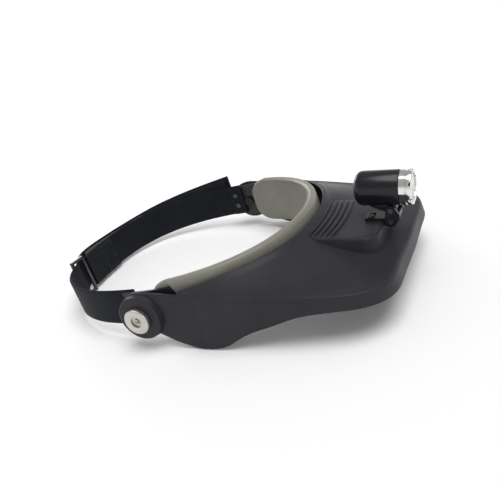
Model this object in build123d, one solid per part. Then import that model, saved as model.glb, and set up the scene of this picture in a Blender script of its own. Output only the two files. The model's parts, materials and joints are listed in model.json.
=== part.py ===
from build123d import *
import math
import os

os.makedirs("parts", exist_ok=True)

# Head visor magnifier: a padded headband with a tilting eye-shade hood, a lens that
# folds down from the hood's front edge, and a small battery lamp on the hood.
#
# Every piece is drawn in one of two frames that share an origin, the middle of the
# tilt axis between the wearer's temples: the band frame, where the headband lies
# level, and the hood frame, where the hood's platform is level. +X is forward, +Y is
# the wearer's left and +Z is up. Both are pitched about Y and lifted onto the table.

# ---- attitude on the table (degrees, front up) ----
hood_pitch = -1.3
band_pitch = 6.7

# ---- clearances ----
turn_gap = 0.05        # radial, round pins and screws
side_gap = 0.1         # between faces that turn past each other
layer_gap = 0.05       # between stacked layers of one body

# ---- headband loop, band frame ----
loop_front = 83.3      # middle of the forehead, from the tilt axis
loop_side = 80.6       # half width at the temples
loop_rear = 94.7       # back of the head, from the tilt axis
front_power = 2.08     # how square the two halves of the loop are: 2 is an ellipse
rear_power = 2.58
band_low = -9.1        # lower edge of straps and band
strap_width = 24.7
strap_thickness = 1.4
strap_gap = 0.28       # from the tilt screw's head to the straps' front ends
hem_end = 10.5         # degrees behind the tilt axis where the strap's hem ends

# ---- brow band and its padding, band frame ----
pad_low = -17.6
pad_height = 35.8
pad_end = 6.0          # x of the pad's rounded ends
pad_corner = 15.0
skin_thickness = 0.6
foam_thickness = 3.9
foam_inset = 0.8
carrier_thickness = 1.3
carrier_inner = 2.1    # offset of the carrier's inner face from the loop line
carrier_margin = 1.3   # how far the carrier's edges lie inside the straps' edges
tongue_end = 8.4       # degrees behind the tilt axis
cover_end = 26.0       # x where the outer cover stops short of the ears
ear_radius = 12.5

# ---- straps ----
left_strap_end = 194.3 # degrees from straight ahead
doubled_from = 173.0   # the left strap is folded back on itself from here to its end
ring_inner_angle = 195.4
ring_outer_angle = 201.2
ring_outer_offset = 4.2
ring_wire = 2.0
ring_margin = 0.5
ring_corner = 0.6
eye_share = 0.8        # of the strap's thickness, round the ring's bar
overlap_gap = 0.1
tail_end = 99.6        # degrees from straight ahead
tail_rise = 9.0
tail_root = 172.0      # degrees from straight ahead where the tail starts to climb
tail_curve = 1.4
stand_off = 4.6        # how far the long strap bows out beyond its overlap at the back
patch_thickness = 0.9
patch_inset = 1.5
patch_end = 186.0      # degrees from straight ahead
rivet_angle = 96.9
rivet_spacing = 9.0
rivet_radius = 1.2
rivet_head_radius = 1.9
rivet_head = 0.6
rivet_gap = 0.15       # under the flat heads, because the band they hold is curved

# ---- tilt axis hardware ----
screw_radius = 2.0
screw_head_radius = 3.8
screw_head = 1.7
washer_radius = 7.0
washer_thickness = 1.6
knob_radius = 8.4
knob_thickness = 3.8
knob_flutes = 40
knob_flute_depth = 0.35
knob_recess = 3.6
screw_proud = 0.8      # beyond the knob's recessed floor
slot_depth = 0.6
slot_width = 0.8
dish_share = 0.4       # of the knob's thickness, taken by its recess
knob_chamfer = 0.4
flute_radius = 0.5

# ---- hood, hood frame ----
hood_wall = 2.2
hood_ear_radius = 15.6
boss_radius = 14.6
boss_height = 4.0
ear_proud = 0.25       # the ear plate's face beyond the side wall's
rim_clearance = 4.2    # from the headband line to the middle of the rear rim
rim_height = 24.2
rim_inset = 3.2        # from the side wall's face to the rim's ends
rim_end = 28.0         # x of the rim's ends, over the ears
hood_reach = 63.0      # from the headband line to the front edge of the top
wing_start = 27.0      # x where the side walls leave the ears
crease_rear = 15.6     # height of the edge between top and side wall
crease_front = 11.3
crown_power = 1.7      # how fast the top falls away from the rim
lip_flare = 2.6

# ---- lamp platform, hood frame ----
platform_top = 22.7
platform_half_width = 29.0
platform_length = 44.2
platform_setback = 0.5 # from the rear rim to the platform
platform_corner = 9.0
platform_draft = 6.0
platform_wall = 2.0
notch_drop = 6.2       # floor of the front notch below the lamp's lower pin
notch_depth = 1.4
notch_gap = 0.45       # beside the pin's heads
rib_count = 5
rib_setback = 4.0      # from the platform's rear edge to the first rib
rib_pitch = 3.7
rib_width = 1.7
rib_height = 0.7
rib_margin = 2.0       # from a rib's end to the platform's side
rib_radius = 164.0

# ---- lens holder, hood frame ----
holder_margin = 1.5    # from the holder's side to the hood's front corner
holder_depth = 42.0
holder_thickness = 3.4
holder_rim = 5.0
hinge_inset = 6.9      # behind the hood's front edge
hinge_drop = 6.1       # below the front edge between top and side wall
lug_radius = 2.4
hinge_pin_radius = 1.2
hinge_pin_length = 10.0
hinge_knuckle = 2.3
lens_ledge = 1.2
lens_gap = 0.15
lens_dome_radius = 330.0
lens_edge = 1.5
lens_flat_rim = 2.2    # width of the flat rim round the dome
clip_height = 0.6
lug_thickness = 3.0
holder_corner = 6.0
window_corner = 3.0
clip_width = 8.0
clip_reach = 0.9

# ---- lamp, hood frame ----
pin_reach = 4.3        # lower pin in front of the platform
pin_rise = 0.3         # lower pin above the platform's top
link_lean = 0.3        # upper pin in front of the lower
link_length = 7.2      # upper pin above the lower
lamp_pin_radius = 1.0
lamp_pin_head = 0.6
bracket_half_width = 4.9
bracket_lug_radius = 3.5
bracket_length = 12.0
bracket_thickness = 1.6
screw_setback = 3.5    # bracket screws in front of the foot's rear edge
screw_spread = 5.2
screw_length = 5.2
small_head_radius = 1.9
small_head = 1.0
pilot_radius = 1.0     # holes in the platform that the bracket's screws cut into
thread_radius = 1.1
cheek_thickness = 2.2
cheek_upper_radius = 2.8
cheek_bow_radius = 4.0
cheek_bow = 1.6        # how far the cheek bows forward of the lower pin
web_thickness = 1.2
web_height = 3.0
saddle_lug_radius = 3.4
saddle_length = 13.3   # behind the upper pin
saddle_drop = 1.7      # from the lamp's underside to the upper pin
lamp_wall = 2.0
lamp_overhang = 21.1   # behind the upper pin
tail_round = 5.0
lamp_floor = 2.2
bezel_length = 7.7
bezel_lip = 0.7
bezel_wall = 1.4
bezel_chamfer = 0.6
spigot_length = 3.6
spigot_wall = 1.2
spigot_gap = 0.6       # from the board to the spigot
bezel_web = 0.8        # joins the spigot to the ring
scallops = 6
scallop_radius = 1.5
groove_start = 4.1     # behind the ring's shoulder
groove_width = 0.8
groove_depth = 0.5
cell_radius = 5.8
cell_height = 5.4
cell_count = 3
cell_step = 1.4        # from the can's side to its raised face
cell_gap = 0.1
sleeve_wall = 2.65
spring_length = 3.2
board_thickness = 1.2
led_radius = 2.5
led_height = 5.5
led_flange = 0.9
window_thickness = 1.4


# ==== helpers: frames, loops and thin sheets ====

def on_axis(radius, start, end):
    """A cylinder along Y from y = start to y = end, centred on the tilt axis."""
    low, high = min(start, end), max(start, end)
    return Pos(0, (low + high) / 2, 0) * Rot(90, 0, 0) * Cylinder(radius, high - low)


def along_y(radius, x, z, low, high):
    """A cylinder along Y through (x, z) from y = low to y = high."""
    return Pos(x, 0, z) * on_axis(radius, low, high)


def along_x(radius, low, high, z):
    """A cylinder along X, on the middle plane at height z."""
    return Pos((low + high) / 2, 0, z) * Rot(0, 90, 0) * Cylinder(radius, high - low)


def box(x0, x1, y0, y1, z0, z1):
    """A box between two corners."""
    middle = Pos((x0 + x1) / 2, (y0 + y1) / 2, (z0 + z1) / 2)
    return middle * Box(abs(x1 - x0), abs(y1 - y0), abs(z1 - z0))


def side_plate(face_xz, low, high):
    """Extrude a face drawn in XZ (sketch x, y as x, z) from y = low to y = high."""
    standing = Plane.XZ.offset(-high) * face_xz
    return extrude(standing, high - low)


def loop_radius(angle):
    """Distance from the tilt axis to the headband line, `angle` degrees from ahead."""
    ahead = abs(math.cos(math.radians(angle)))
    aside = abs(math.sin(math.radians(angle)))
    front = math.cos(math.radians(angle)) >= 0
    reach = loop_front if front else loop_rear
    power = front_power if front else rear_power
    return ((ahead / reach) ** power + (aside / loop_side) ** power) ** (-1 / power)


def loop_point(angle, offset):
    """A point of the headband line, moved outward by offset, as (x, y)."""
    def on_line(a):
        radius = loop_radius(a)
        return radius * math.cos(math.radians(a)), radius * math.sin(math.radians(a))

    before, after = on_line(angle - 0.5), on_line(angle + 0.5)
    dx, dy = after[0] - before[0], after[1] - before[1]
    length = math.hypot(dx, dy)
    x, y = on_line(angle)
    return x + offset * dy / length, y - offset * dx / length


def spread(start, end, count):
    """`count` even values from start to end."""
    return [start + (end - start) * i / (count - 1) for i in range(count)]


def ribbon(stations):
    """A band through stations of four corners: inner low, outer low, outer high, inner high."""
    rails = [Spline([station[k] for station in stations]) for k in range(4)]
    walls = [Face.make_surface_from_curves(rails[k], rails[(k + 1) % 4]) for k in range(4)]
    ends = [Face(Wire.make_polygon([Vector(*corner) for corner in station]))
            for station in (stations[0], stations[-1])]
    return Solid(Shell(walls + ends))


def upright(inner_xy, outer_xy, low, high):
    """The four corners of a ribbon station that stands on edge."""
    return [(*inner_xy, low), (*outer_xy, low), (*outer_xy, high), (*inner_xy, high)]


def loop_band(start, end, inner, outer, low, high, count=25):
    """A level band that follows the headband line between two angles."""
    return ribbon([upright(loop_point(a, inner), loop_point(a, outer), low, high)
                   for a in spread(start, end, count)])


def smooth_table(rows, x):
    """Smooth curve through rows of (x, value), flat where neighbours level out."""
    if x <= rows[0][0]:
        return rows[0][1]
    if x >= rows[-1][0]:
        return rows[-1][1]
    slopes = [(b[1] - a[1]) / (b[0] - a[0]) for a, b in zip(rows, rows[1:])]
    tangents = [slopes[0]] + [(a + b) / 2 for a, b in zip(slopes, slopes[1:])] + [slopes[-1]]
    k = max(i for i in range(len(rows) - 1) if rows[i][0] <= x)
    span = rows[k + 1][0] - rows[k][0]
    t = (x - rows[k][0]) / span
    rise = rows[k + 1][1] - rows[k][1]
    return (rows[k][1] + rise * t * t * (3 - 2 * t)
            + span * t * (1 - t) * (tangents[k] * (1 - t) - tangents[k + 1] * t))


# ==== headband: root body ====

carrier_outer = carrier_inner + carrier_thickness
ear_inner_y = loop_side + carrier_inner
ear_outer_y = loop_side + carrier_outer
band_high = band_low + strap_width
band_middle = band_low + strap_width / 2
strap_inner = carrier_inner - layer_gap - strap_thickness - layer_gap
strap_middle = strap_inner + strap_thickness / 2
strap_start = math.degrees(math.atan2(screw_head_radius + strap_gap, loop_side))


def pad_outline(inset):
    """The pad's side view: straight above and below, with rounded ends."""
    width, height = 200.0, pad_height - 2 * inset
    corner = RectangleRounded(width, height, pad_corner - inset)
    middle = Pos(pad_end + inset + width / 2, pad_low + pad_height / 2)
    return side_plate(middle * corner, -loop_front - 20, loop_front + 20)


def brow_layer(inner, outer, inset):
    """One layer of the padding, between two offsets of the headband line."""
    whole = loop_band(-90, 90, inner, outer, pad_low + inset, pad_low + pad_height - inset, 33)
    return whole & pad_outline(inset)


def pad_lining():
    """Soft skin against the forehead."""
    outer = carrier_inner - layer_gap - foam_thickness - layer_gap
    return brow_layer(outer - skin_thickness, outer, 0)


def brow_foam():
    """Foam between the lining and the carrier."""
    outer = carrier_inner - layer_gap
    return brow_layer(outer - foam_thickness, outer, foam_inset)


def pad_cover():
    """Outer skin over the carrier, cut short of the ears."""
    inner = carrier_outer + layer_gap
    reach = math.degrees(math.acos(cover_end / (loop_front + inner)))
    return loop_band(-reach, reach, inner, inner + skin_thickness, pad_low, pad_low + pad_height)


def rivet_places(side):
    """Where the strap rivets pass through the carrier's tongue."""
    x, y = loop_point(rivet_angle, 0)
    return [(x, side * y, band_middle + k * rivet_spacing / 2) for k in (-1, 1)]


def rivet_holes(side):
    radius = rivet_radius + turn_gap
    holes = [Pos(0, 0, z) * along_y(radius, x, 0, y - side * 3, y + side * 8)
             for x, y, z in rivet_places(side)]
    return holes[0] + holes[1]


def brow_band():
    """Springy carrier round the forehead, with a round ear at each temple."""
    low, high = band_low + carrier_margin, band_high - carrier_margin
    reach = 90 + tongue_end
    band = loop_band(-reach, reach, carrier_inner, carrier_outer, low, high, 41)
    for side in (-1, 1):
        band += on_axis(ear_radius, side * ear_inner_y, side * ear_outer_y)
    for side in (-1, 1):
        band -= on_axis(screw_radius + turn_gap, side * (ear_inner_y - 2), side * (ear_outer_y + 2))
        band -= rivet_holes(side)
    return band


def strap_rivets():
    """Two rivets a side hold each strap to the carrier's tongue."""
    rivets = []
    for side in (-1, 1):
        for x, y, z in rivet_places(side):
            hem = strap_thickness if side > 0 else 0
            inner = abs(y) + strap_inner - hem - rivet_gap
            outer = abs(y) + carrier_outer + rivet_gap
            shank = along_y(rivet_radius, x, z, side * inner, side * outer)
            heads = [along_y(rivet_head_radius, x, z, side * (inner - rivet_head), side * inner),
                     along_y(rivet_head_radius, x, z, side * outer, side * (outer + rivet_head))]
            rivets.append(shank + heads[0] + heads[1])
    return Compound(children=rivets)


def left_strap():
    """Short strap from the left ear; its end is folded round the ring's inner bar."""
    start, fold = 90 + strap_start, strap_thickness
    strap = loop_band(start, left_strap_end, strap_inner, strap_inner + fold,
                      band_low, band_high, 41)
    for first, last in ((start, 90 + hem_end), (doubled_from, left_strap_end)):
        strap += loop_band(first, last, strap_inner - fold, strap_inner + fold / 2,
                           band_low, band_high, 9)
    x, y = loop_point(ring_inner_angle, strap_middle - fold / 2)
    eye_radius = ring_wire * 0.75 + layer_gap
    eye = Cylinder(eye_radius + strap_thickness * eye_share, strap_width)
    strap += Pos(x, y, band_middle) * eye
    strap -= Pos(x, y, band_middle) * Cylinder(eye_radius, strap_width + 2)
    return strap - rivet_holes(1)


def long_strap_offset(angle):
    """How far the long strap's middle lies outside the headband line."""
    over = strap_middle + strap_thickness + overlap_gap + patch_thickness + layer_gap
    rows = [(140, over), (146, over), (152, over), (160, over + stand_off * 0.2),
            (170, over + stand_off * 0.65), (180, over + stand_off),
            (187, over + stand_off * 0.95), (191.5, over + stand_off * 0.62),
            (ring_inner_angle, over + stand_off * 0.28), (200.2, strap_middle + 0.4),
            (206, strap_middle), (210, strap_middle), (216, strap_middle)]
    return smooth_table(rows, angle)


def tail_lift(angle):
    """The long strap's tail climbs above the strap below it."""
    part = min(max((tail_root - angle) / (tail_root - tail_end), 0), 1)
    return tail_rise * part ** tail_curve


def long_strap_band(start, end, inner, outer, inset, count):
    """A band that follows the long strap between two offsets from its middle."""
    stations = []
    for a in spread(start, end, count):
        middle = long_strap_offset(a)
        lift = tail_lift(a)
        stations.append(upright(loop_point(a, middle + inner), loop_point(a, middle + outer),
                                band_low + inset + lift, band_high - inset + lift))
    return ribbon(stations)


def right_strap():
    """Long strap: right ear, round the back, through the ring, along the left side."""
    half = strap_thickness / 2
    strap = long_strap_band(tail_end, 270 - strap_start, -half, half, 0, 61)
    return strap - rivet_holes(-1)


def hook_patch():
    """Hook tape sewn to the inner face of the long strap's overlap."""
    outer = -strap_thickness / 2 - layer_gap
    return long_strap_band(tail_end + 2, patch_end, outer - patch_thickness, outer, patch_inset, 41)


def strap_ring():
    """Rectangular ring: one bar in the left strap's fold, the long strap runs through."""
    x0, y0 = loop_point(ring_inner_angle, strap_middle - strap_thickness / 2)
    x1, y1 = loop_point(ring_outer_angle, ring_outer_offset)
    width = math.hypot(x1 - x0, y1 - y0)
    height = strap_width + 2 * ring_margin
    frame = Box(width + ring_wire, ring_wire, height + 2 * ring_wire)
    frame -= Box(width - ring_wire, ring_wire * 2, height)
    frame = fillet(frame.edges().filter_by(Axis.Y).group_by(SortBy.LENGTH)[0], ring_corner)
    turn = math.degrees(math.atan2(y1 - y0, x1 - x0))
    return Pos((x0 + x1) / 2, (y0 + y1) / 2, band_middle) * Rot(0, 0, turn) * frame


# ==== tilt axis hardware ====

hood_inner_y = ear_outer_y + layer_gap + washer_thickness + side_gap
hood_side_y = hood_inner_y + hood_wall
boss_face_y = hood_side_y + ear_proud + boss_height
knob_inner_y = boss_face_y + side_gap
knob_face_y = knob_inner_y + knob_thickness
knob_floor_y = knob_face_y - knob_thickness * dish_share


def pivot_screw(side):
    """Machine screw fixed in the carrier's ear; the knob turns on its free end."""
    seat = ear_inner_y - 3 * layer_gap
    end = knob_floor_y + screw_proud
    screw = on_axis(screw_radius, side * seat, side * end)
    screw += on_axis(screw_head_radius, side * (seat - screw_head), side * seat)
    slot = box(-screw_radius, screw_radius, side * (end - slot_depth), side * (end + 1),
               -slot_width / 2, slot_width / 2)
    return screw - slot


def friction_washer(side):
    """Nylon washer that the hood's ear rubs on."""
    start = ear_outer_y + layer_gap
    ring = on_axis(washer_radius, side * start, side * (start + washer_thickness))
    return ring - on_axis(screw_radius + turn_gap, side * (start - 1), side * (start + 5))


def knob(side):
    """Knurled clamping nut with a dished middle."""
    disc = on_axis(knob_radius, side * knob_inner_y, side * knob_face_y)
    disc = chamfer(disc.edges().filter_by(GeomType.CIRCLE), knob_chamfer)
    pitch_angle = 360 / knob_flutes
    reach = knob_radius + flute_radius - knob_flute_depth
    flute = Pos(reach, 0, 0) * Rot(90, 0, 0) * Cylinder(flute_radius, knob_thickness * 3)
    flutes = [Rot(0, k * pitch_angle, 0) * Pos(0, side * knob_inner_y, 0) * flute
              for k in range(knob_flutes)]
    disc -= flutes
    disc -= on_axis(knob_recess, side * knob_floor_y, side * (knob_face_y + 1))
    return disc - on_axis(screw_radius + turn_gap, side * (knob_inner_y - 1), side * knob_face_y)


# ==== hood body ====

stations_across = 33
rim_front = loop_front + rim_clearance
hood_front = loop_front + hood_reach
platform_rear = rim_front + platform_setback
platform_front = platform_rear + platform_length
rib_first = platform_rear + rib_setback
lower_pin_x = platform_front + pin_reach
lower_pin_z = platform_top + pin_rise
upper_pin_x = lower_pin_x + link_lean
upper_pin_z = lower_pin_z + link_length
pin_shoulder = bracket_half_width + side_gap + cheek_thickness + layer_gap
notch_half_width = pin_shoulder + lamp_pin_head + notch_gap
hinge_x = hood_front - hinge_inset
hinge_z = crease_front - hinge_drop

# plan of the hood: how far each point lies behind the front edge and in from the side
corner_back, corner_in = 3.7, 30.45
plan_rows = [(0.6, 55.95), (corner_back, corner_in), (12.8, 18.95), (30.3, 11.45), (67.3, 3.95)]
hood_plan = [(hood_front, 0)] + [(hood_front - a, hood_side_y - b) for a, b in plan_rows]
hood_plan += [(50, hood_side_y - 0.3), (wing_start, hood_side_y)]
# lower edge of the side wall at each x: the wings, then the run up to the front lip
hem_rows = [(wing_start, -20.0), (34, -21.5), (46, -21.0), (54, -18.6), (62, -13.4), (70, -9.4),
            (80, -6.0), (hood_front - 47.3, 0.3), (hood_front - 29.3, 1.9), (hood_front + 0.7, 1.6)]
flare_rows = [(hood_front - 26.3, 0), (hood_front - 14.3, 0.3), (hood_front - 1.3, 1)]
outline = Spline([(x, -y) for x, y in reversed(hood_plan)] + hood_plan[1:])


def outline_point(u, inset):
    """The hood's outline in plan, moved inward by inset; u runs -1 (right) to 1."""
    t = min(max((u + 1) / 2, 0), 1)
    place, along = outline @ t, outline % t
    return place.X - inset * along.Y, place.Y + inset * along.X


def rim_point(u):
    """The hood's rear rim: an arch round the brow that dips to the ears."""
    half = hood_side_y - rim_inset
    y = half * math.sin(math.radians(90 * u))
    q = (y / half) ** 2
    back = (22.6 * q + 32.8 * q ** 2 + 4.1 * q ** 3) / 59.5
    down = (-6.0 * q + 17.9 * q ** 2 - 3.3 * q ** 3) / 8.6
    return rim_front - (rim_front - rim_end) * back, y, rim_height - (rim_height - crease_rear) * down


def crease_height(x):
    """Height of the edge between the hood's top and its side wall."""
    along = (x - wing_start) / (hood_front - wing_start)
    return crease_rear + (crease_front - crease_rear) * along


def top_section(u, depth):
    """Points from the rim over the top to the crease, `depth` in from the outside."""
    rim_x, rim_y, rim_z = rim_point(u)
    edge_x, edge_y = outline_point(u, depth)
    crease = crease_height(outline_point(u, 0)[0])
    points = []
    for t in spread(0, 1, 7):
        z = crease + (rim_z - crease) * (1 - t) ** crown_power - depth
        points.append((rim_x + (edge_x - rim_x) * t, rim_y + (edge_y - rim_y) * t, z))
    return points


def hem_point(u, depth):
    """Lower edge of the side wall: low at the wings, flared out along the front lip."""
    x, y = outline_point(u, depth)
    outer_x = outline_point(u, 0)[0]
    return x + lip_flare * smooth_table(flare_rows, outer_x), y, smooth_table(hem_rows, outer_x)


def hood_skin():
    """The arched top and the wall that hangs from it, as one closed sheet."""
    us = spread(-1, 1, stations_across)
    faces, rims, hems, ends = [], [], [], []
    for depth in (0, hood_wall):
        top = Face.make_surface_from_array_of_points([top_section(u, depth) for u in us])
        right, left = top.edges().sort_by(SortBy.LENGTH)[:2].sort_by(Axis.Y)
        rim, crease = top.edges().sort_by(SortBy.LENGTH)[2:]
        hem = Edge.make_spline([Vector(*hem_point(u, depth)) for u in reversed(us)])
        drops = [Edge.make_line(top_section(u, depth)[-1], hem_point(u, depth)) for u in (-1, 1)]
        faces += [top, Face.make_surface_from_curves(crease, hem)]
        rims.append(rim)
        hems.append(hem)
        ends.append([right, left] + drops)
    faces += [Face.make_surface_from_curves(*pair) for pair in (rims, hems, *zip(*ends))]
    return Solid(Shell(faces))


def hood_shell():
    """One moulding: arched top, side wings, front lip, ears, bosses and platform."""
    hollow = platform_hollow()
    platform = platform_block() - hollow - bracket_screw_holes()
    shell = ear_plate(-1) + ear_plate(1) + (hood_skin() - hollow) + platform
    for side in (-1, 1):
        shell += on_axis(boss_radius, side * (hood_side_y + ear_proud), side * boss_face_y)
        shell -= on_axis(screw_radius + turn_gap, side * (ear_outer_y - 2), side * (knob_face_y + 2))
        shell += hinge_lug(side)
        shell -= along_y(hinge_pin_radius + turn_gap, hinge_x, hinge_z,
                         side * (holder_width / 2 - 1), side * (pin_end + 0.2))
    return shell


def ear_plate(side):
    """Flat ear round the tilt axis, running forward into the side wall."""
    profile = Circle(hood_ear_radius) + make_face(Polyline(
        (0, hood_ear_radius), (34, 14.6), (34, -20.8), (27, -19.6), (20, -17.8), (10.6, -14.9),
        (0, -hood_ear_radius), (0, hood_ear_radius)))
    low, high = sorted((side * (hood_inner_y + 0.15), side * (hood_side_y + ear_proud)))
    return side_plate(profile, low, high)


def platform_block():
    """Raised platform for the lamp, drafted all round, with curved grip ribs."""
    floor = crease_front - hood_wall / 2
    length = platform_front - platform_rear
    top = RectangleRounded(length, 2 * platform_half_width, platform_corner)
    place = Pos((platform_front + platform_rear) / 2, 0, platform_top)
    block = extrude(place * top, platform_top - floor, (0, 0, -1), taper=-platform_draft)
    block -= on_axis(math.hypot(rim_front, rim_height - hood_wall), -hood_front, hood_front)
    for k in range(rib_count):
        block += grip_rib(rib_first + k * rib_pitch)
    notch = box(platform_front - notch_depth, hood_front, -notch_half_width, notch_half_width,
                lower_pin_z - notch_drop, platform_top + 2)
    return block - notch


def grip_rib(x):
    """One low rib across the platform, concentric with the rim."""
    centre = Pos(x - rib_radius, 0, platform_top)
    ring = Circle(rib_radius + rib_width / 2) - Circle(rib_radius - rib_width / 2)
    wedge = make_face(Polyline((0, 0), (2 * rib_radius, 2 * rib_radius * math.tan(half_wedge())),
                               (2 * rib_radius, -2 * rib_radius * math.tan(half_wedge())), (0, 0)))
    return extrude(centre * (ring & wedge), rib_height)


def half_wedge():
    """Half the angle that a grip rib spans, in radians."""
    return math.asin((platform_half_width - rib_margin) / rib_radius)


def platform_hollow():
    """The space moulded out under the platform."""
    wall = platform_wall
    rear, front = platform_rear + wall + 2, platform_front - wall - notch_depth
    width = 2 * (platform_half_width - wall)
    high, low = lower_pin_z - notch_drop - wall, crease_front - 2 * hood_wall
    hollow = RectangleRounded(front - rear, width, platform_corner - wall)
    lower = extrude(Pos((front + rear) / 2, 0, low) * hollow, high - low)
    back_front = platform_front - bracket_length - wall
    back = RectangleRounded(back_front - rear, width, platform_corner - wall)
    return lower + extrude(Pos((back_front + rear) / 2, 0, low) * back, platform_top - wall - low)


def hinge_lug(side):
    """Lug under the hood's front edge that carries a lens hinge pin."""
    inner = holder_width / 2 + side_gap * 2
    lug = box(hinge_x - lug_radius, hinge_x + lug_radius, side * inner, side * (inner + lug_thickness),
              hinge_z, crease_front - hood_wall / 2)
    return lug + along_y(lug_radius, hinge_x, hinge_z, side * inner, side * (inner + lug_thickness))


# ==== lens holder ====

holder_width = 2 * (hood_side_y - corner_in - holder_margin)
pin_end = holder_width / 2 + side_gap * 2 + lug_thickness
holder_low = hinge_z - holder_thickness / 2
seat_height = holder_low + holder_thickness - lens_ledge
lens_length = holder_width - 2 * holder_rim + 2 * lens_ledge
lens_depth = holder_depth - 2 * holder_rim + 2 * lens_ledge
holder_front = hinge_x + hinge_knuckle
holder_middle = holder_front - holder_depth / 2


def lens_holder():
    """Frame round the lens, hinged along its front edge, with a ledge above the lens."""
    outer = RectangleRounded(holder_depth, holder_width, holder_corner)
    window = RectangleRounded(holder_depth - 2 * holder_rim, holder_width - 2 * holder_rim,
                              window_corner)
    seat = RectangleRounded(lens_depth + 2 * lens_gap, lens_length + 2 * lens_gap, window_corner)
    frame = extrude(Pos(holder_middle, 0, holder_low) * (outer - window), holder_thickness)
    frame -= extrude(Pos(holder_middle, 0, seat_height) * seat, -holder_thickness)
    for side in (-1, 1):
        frame -= along_y(hinge_pin_radius + turn_gap, hinge_x, hinge_z,
                         side * (holder_width / 2 + 1), side * (pin_end - hinge_pin_length - 0.2))
        frame += lens_clip(side)
    return frame


def lens_clip(side):
    """Snap nib that holds the lens up in its seat."""
    edge = side * (lens_length / 2 + lens_gap)
    high = seat_height - lens_edge - 2 * layer_gap
    half = clip_width / 2
    return box(holder_middle - half, holder_middle + half, edge - side * clip_reach, edge + side * 1.5,
               high - clip_height, high)


def lens():
    """Acrylic magnifying plate: flat above, domed below inside a thin flat rim."""
    high = seat_height - layer_gap
    plate = Pos(holder_middle, 0, high) * RectangleRounded(lens_depth, lens_length, window_corner - 0.2)
    depth, length = lens_depth - 2 * lens_flat_rim, lens_length - 2 * lens_flat_rim
    rise = math.sqrt(lens_dome_radius ** 2 - (depth ** 2 + length ** 2) / 4)
    dome = Pos(holder_middle, 0, high - lens_edge + rise) * Sphere(lens_dome_radius)
    inner = Pos(holder_middle, 0, high) * RectangleRounded(depth, length, 2)
    return extrude(plate, -lens_edge) + (extrude(inner, -12) & dome)


def lens_hinge_pins():
    """Two short pins that join the holder to the hood's lugs."""
    pins = [along_y(hinge_pin_radius, hinge_x, hinge_z, side * (pin_end - hinge_pin_length),
                    side * pin_end) for side in (-1, 1)]
    return Compound(children=pins)


# ==== lamp bracket and link ====

def bracket_screw_places():
    return [(platform_front - bracket_length + screw_setback, side * screw_spread / 2)
            for side in (-1, 1)]


def bracket_screw_holes():
    holes = [Pos(x, y, platform_top) * Cylinder(pilot_radius, 12) for x, y in bracket_screw_places()]
    return holes[0] + holes[1]


def lamp_bracket():
    """Foot screwed to the platform, with one lug that carries the lower pin."""
    half, low = bracket_half_width, platform_top + layer_gap
    foot = box(platform_front - bracket_length, platform_front + 1, -half, half,
               low, low + bracket_thickness)
    lug = along_y(bracket_lug_radius, lower_pin_x, lower_pin_z, -half, half)
    neck = box(platform_front - 1.3, lower_pin_x, -half, half,
               lower_pin_z - bracket_lug_radius, low + bracket_thickness)
    bracket = foot + neck + lug
    bracket -= along_y(lamp_pin_radius + turn_gap, lower_pin_x, lower_pin_z, -half - 1, half + 1)
    for x, y in bracket_screw_places():
        bracket -= Pos(x, y, low) * Cylinder(thread_radius + turn_gap, 10)
    return bracket


def bracket_screws():
    """Two small screws down through the bracket's foot."""
    screws = []
    low = platform_top + layer_gap + bracket_thickness + layer_gap
    for x, y in bracket_screw_places():
        head = Pos(x, y, low + small_head / 2) * Cylinder(small_head_radius, small_head)
        shank = Pos(x, y, low - screw_length / 2) * Cylinder(thread_radius, screw_length)
        cross = Pos(x, y, low + small_head - 0.1) * (Box(2.2, 0.5, 0.6) + Box(0.5, 2.2, 0.6))
        screws.append(head + shank - cross)
    return Compound(children=screws)


def link_cheek_face():
    """Side view of one cheek: wide at the lower pin, bowed forward, slim above."""
    lower = Pos(lower_pin_x, lower_pin_z) * Circle(bracket_lug_radius)
    upper = Pos(upper_pin_x, upper_pin_z) * Circle(cheek_upper_radius)
    bow = Pos(lower_pin_x + cheek_bow, (lower_pin_z + upper_pin_z) / 2 - 0.4)
    bow = bow * Circle(cheek_bow_radius)
    return make_hull([e for part in (lower, upper, bow) for e in part.edges()])


def lamp_link():
    """Two cheeks joined by a web in front of the lug and the saddle."""
    inner = bracket_half_width + side_gap
    link = None
    for side in (-1, 1):
        low, high = sorted((side * inner, side * (inner + cheek_thickness)))
        cheek = side_plate(link_cheek_face(), low, high)
        link = cheek if link is None else link + cheek
    web_low = lower_pin_z + bracket_lug_radius - 1.6
    web_front = lower_pin_x + cheek_bow + cheek_bow_radius - 0.4
    link += box(web_front - web_thickness, web_front, -inner - 0.5, inner + 0.5,
                web_low, web_low + web_height)
    for x, z in ((lower_pin_x, lower_pin_z), (upper_pin_x, upper_pin_z)):
        link -= along_y(lamp_pin_radius + turn_gap, x, z, -inner - 5, inner + 5)
    return link


def lamp_pin(x, z):
    """Pin through the cheeks, with a low head on each side."""
    reach = pin_shoulder
    pin = along_y(lamp_pin_radius, x, z, -reach, reach)
    for side in (-1, 1):
        pin += along_y(lamp_pin_radius + 0.6, x, z, side * reach, side * (reach + lamp_pin_head))
    return pin


# ==== lamp ====

lamp_bore_radius = cell_radius + cell_gap + sleeve_wall + turn_gap
lamp_radius = lamp_bore_radius + lamp_wall
lamp_z = upper_pin_z + saddle_drop + lamp_radius
lamp_rear = upper_pin_x - lamp_overhang
saddle_rear = upper_pin_x - saddle_length
bezel_inner = lamp_radius - bezel_wall
bore_start = lamp_rear + lamp_floor
spring_end = bore_start + spring_length
cells_end = spring_end + cell_count * cell_height + 2 * layer_gap
board_end = cells_end + layer_gap + board_thickness
body_front = board_end + spigot_gap + spigot_length - layer_gap
bezel_front = body_front + layer_gap + bezel_length
window_front = bezel_front - bezel_lip - layer_gap


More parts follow.
